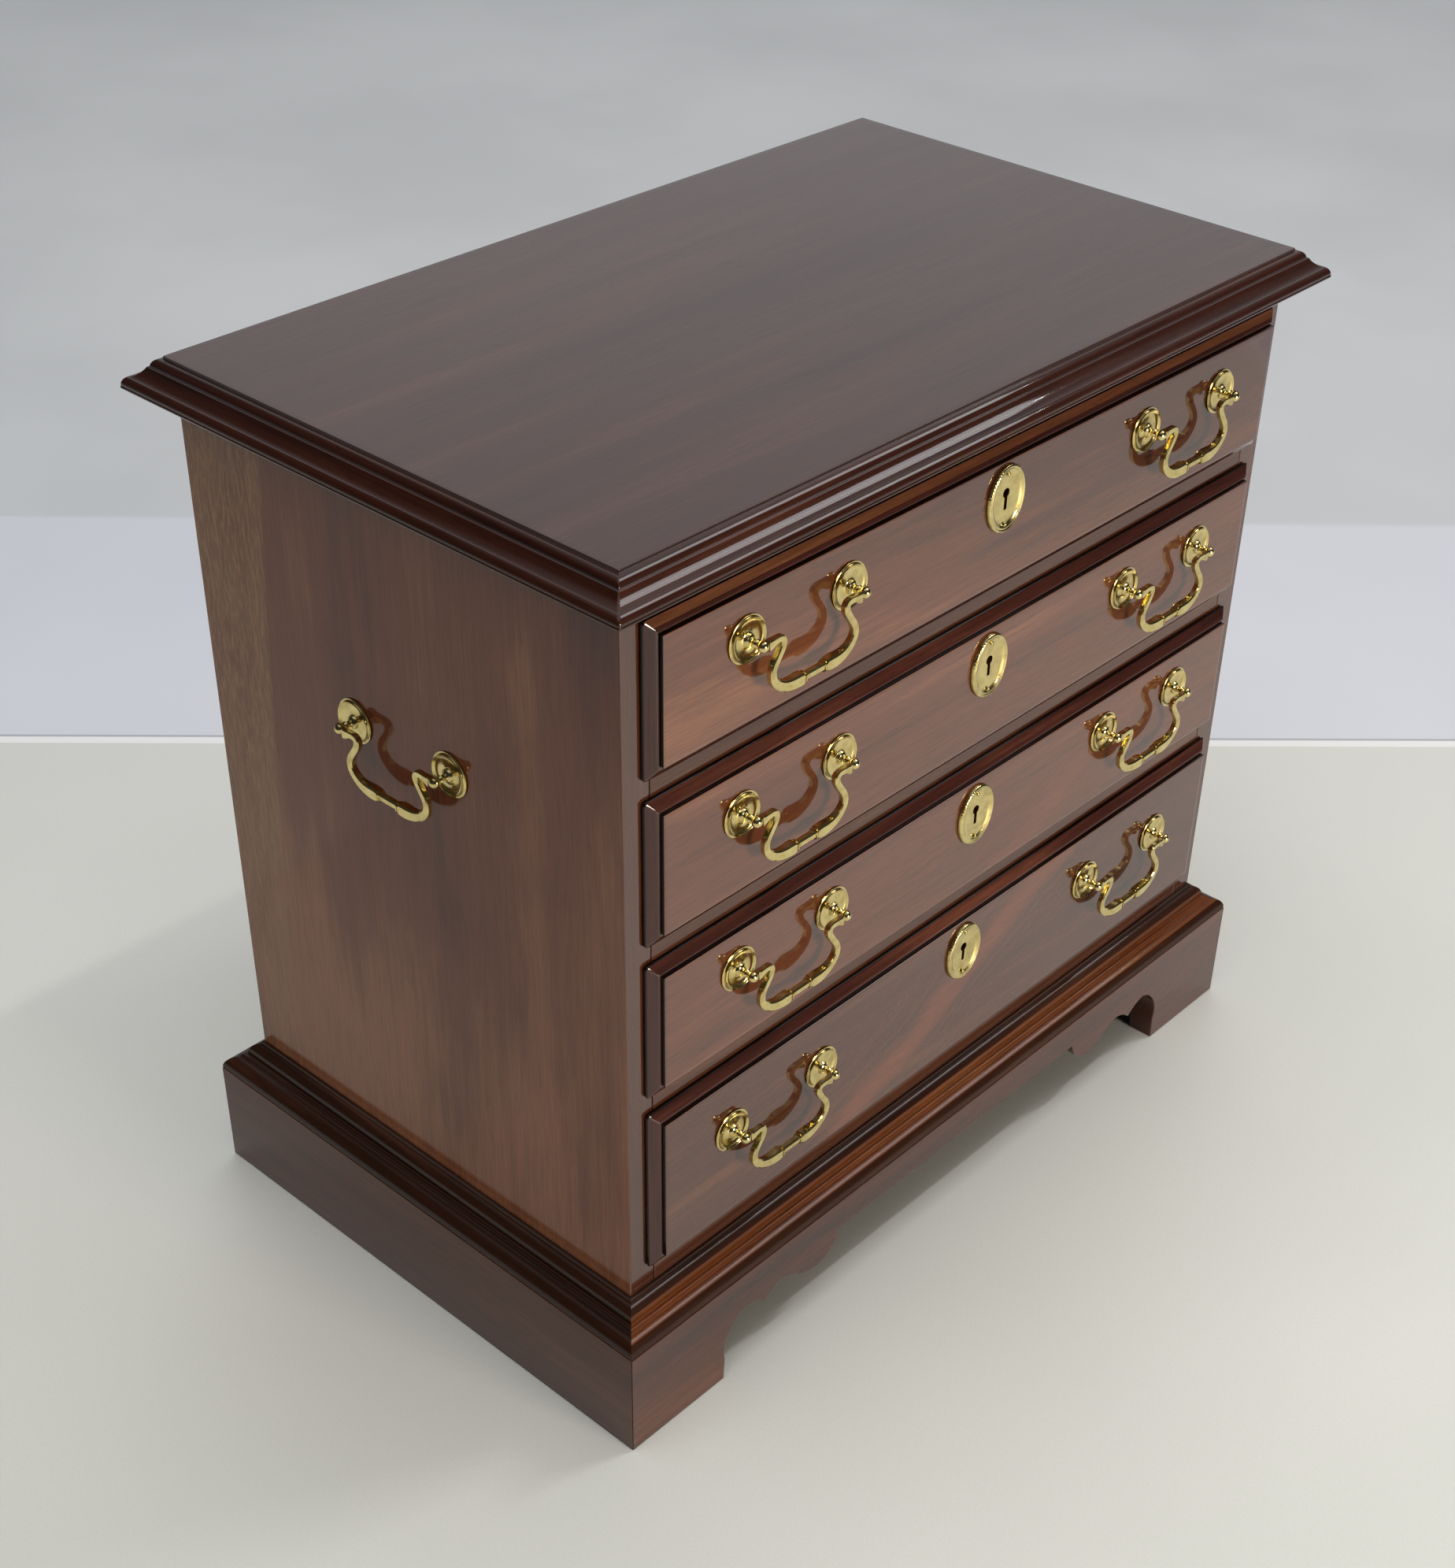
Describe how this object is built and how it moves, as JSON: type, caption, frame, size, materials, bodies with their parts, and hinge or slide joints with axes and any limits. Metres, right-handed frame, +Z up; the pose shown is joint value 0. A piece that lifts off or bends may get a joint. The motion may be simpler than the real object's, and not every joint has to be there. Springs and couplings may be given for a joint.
{
  "type": "miniature chest of drawers",
  "caption": "Small tabletop chest with graduated lipped drawers, brass bail pulls, oval keyhole plates, moulded top and bracket plinth with a scrolled front.",
  "frame": {"origin": "middle of the case in plan, at floor level", "axes": "+X right seen from the front, +Y towards the back, +Z up; the drawers face -Y"},
  "size_m": [0.4516, 0.2802, 0.4193],
  "materials": {
    "mahogany": "polished red-brown mahogany, vertical grain on the sides",
    "mahogany_top": "polished dark mahogany with a cool sheen, grain along the width",
    "mahogany_moulding": "high-gloss dark red mahogany moulding",
    "mahogany_front": "polished warm mahogany with horizontal grain",
    "drawer_lining": "plain unpolished secondary wood",
    "foot_block_dark": "dull near-black stained block",
    "brass": "polished yellow brass"
  },
  "bodies": {
    "case": {"top_board": "mahogany_top", "side_panel_left": "mahogany", "side_panel_right": "mahogany", "back_panel": "mahogany", "bottom_board": "mahogany", "top_rail": "mahogany", "drawer_divider_1": "mahogany", "drawer_divider_2": "mahogany", "drawer_divider_3": "mahogany", "plinth_left": "mahogany", "plinth_right": "mahogany", "plinth_back": "mahogany", "base_moulding_front": "mahogany_moulding", "base_moulding_left": "mahogany_moulding", "base_moulding_right": "mahogany_moulding", "plinth_front": "mahogany_front", "foot_block_left": "foot_block_dark", "foot_block_right": "foot_block_dark", "post_side_left_a": "brass", "post_side_left_b": "brass", "post_side_right_a": "brass", "post_side_right_b": "brass"},
    "drawer_1": {"drawer_1_front": "mahogany_front", "drawer_1_box": "drawer_lining", "escutcheon_1": "brass", "post_1_left_a": "brass", "post_1_left_b": "brass", "post_1_right_a": "brass", "post_1_right_b": "brass"},
    "drawer_2": {"drawer_2_front": "mahogany_front", "drawer_2_box": "drawer_lining", "escutcheon_2": "brass", "post_2_left_a": "brass", "post_2_left_b": "brass", "post_2_right_a": "brass", "post_2_right_b": "brass"},
    "drawer_3": {"drawer_3_front": "mahogany_front", "drawer_3_box": "drawer_lining", "escutcheon_3": "brass", "post_3_left_a": "brass", "post_3_left_b": "brass", "post_3_right_a": "brass", "post_3_right_b": "brass"},
    "drawer_4": {"drawer_4_front": "mahogany_front", "drawer_4_box": "drawer_lining", "escutcheon_4": "brass", "post_4_left_a": "brass", "post_4_left_b": "brass", "post_4_right_a": "brass", "post_4_right_b": "brass"},
    "handle_1_left": {"bail_1_left": "brass"},
    "handle_1_right": {"bail_1_right": "brass"},
    "handle_2_left": {"bail_2_left": "brass"},
    "handle_2_right": {"bail_2_right": "brass"},
    "handle_3_left": {"bail_3_left": "brass"},
    "handle_3_right": {"bail_3_right": "brass"},
    "handle_4_left": {"bail_4_left": "brass"},
    "handle_4_right": {"bail_4_right": "brass"},
    "handle_side_left": {"bail_side_left": "brass"},
    "handle_side_right": {"bail_side_right": "brass"}
  },
  "joints": [
    {"name": "drawer_1_slide", "type": "slide", "parent": "case", "child": "drawer_1", "axis": [0, -1, 0], "range_m": [0, 0.16]},
    {"name": "drawer_2_slide", "type": "slide", "parent": "case", "child": "drawer_2", "axis": [0, -1, 0], "range_m": [0, 0.16]},
    {"name": "drawer_3_slide", "type": "slide", "parent": "case", "child": "drawer_3", "axis": [0, -1, 0], "range_m": [0, 0.16]},
    {"name": "drawer_4_slide", "type": "slide", "parent": "case", "child": "drawer_4", "axis": [0, -1, 0], "range_m": [0, 0.16]},
    {"name": "handle_1_left_hinge", "type": "hinge", "parent": "drawer_1", "child": "handle_1_left", "pos_m": [-0.1234, -0.1384, 0.3698], "axis": [-1, 0, 0], "range_deg": [-13, 110]},
    {"name": "handle_1_right_hinge", "type": "hinge", "parent": "drawer_1", "child": "handle_1_right", "pos_m": [0.1288, -0.1384, 0.3698], "axis": [-1, 0, 0], "range_deg": [-13, 110]},
    {"name": "handle_2_left_hinge", "type": "hinge", "parent": "drawer_2", "child": "handle_2_left", "pos_m": [-0.1245, -0.1384, 0.2941], "axis": [-1, 0, 0], "range_deg": [-13, 110]},
    {"name": "handle_2_right_hinge", "type": "hinge", "parent": "drawer_2", "child": "handle_2_right", "pos_m": [0.127, -0.1384, 0.2941], "axis": [-1, 0, 0], "range_deg": [-13, 110]},
    {"name": "handle_3_left_hinge", "type": "hinge", "parent": "drawer_3", "child": "handle_3_left", "pos_m": [-0.1247, -0.1384, 0.2198], "axis": [-1, 0, 0], "range_deg": [-13, 110]},
    {"name": "handle_3_right_hinge", "type": "hinge", "parent": "drawer_3", "child": "handle_3_right", "pos_m": [0.1251, -0.1384, 0.2198], "axis": [-1, 0, 0], "range_deg": [-13, 110]},
    {"name": "handle_4_left_hinge", "type": "hinge", "parent": "drawer_4", "child": "handle_4_left", "pos_m": [-0.1268, -0.1384, 0.1354], "axis": [-1, 0, 0], "range_deg": [-13, 110]},
    {"name": "handle_4_right_hinge", "type": "hinge", "parent": "drawer_4", "child": "handle_4_right", "pos_m": [0.125, -0.1384, 0.1354], "axis": [-1, 0, 0], "range_deg": [-13, 110]},
    {"name": "handle_side_left_hinge", "type": "hinge", "parent": "case", "child": "handle_side_left", "pos_m": [-0.218, 0, 0.2925], "axis": [0, 1, 0], "range_deg": [-13, 110]},
    {"name": "handle_side_right_hinge", "type": "hinge", "parent": "case", "child": "handle_side_right", "pos_m": [0.218, 0, 0.2925], "axis": [0, -1, 0], "range_deg": [-13, 110]}
  ]
}
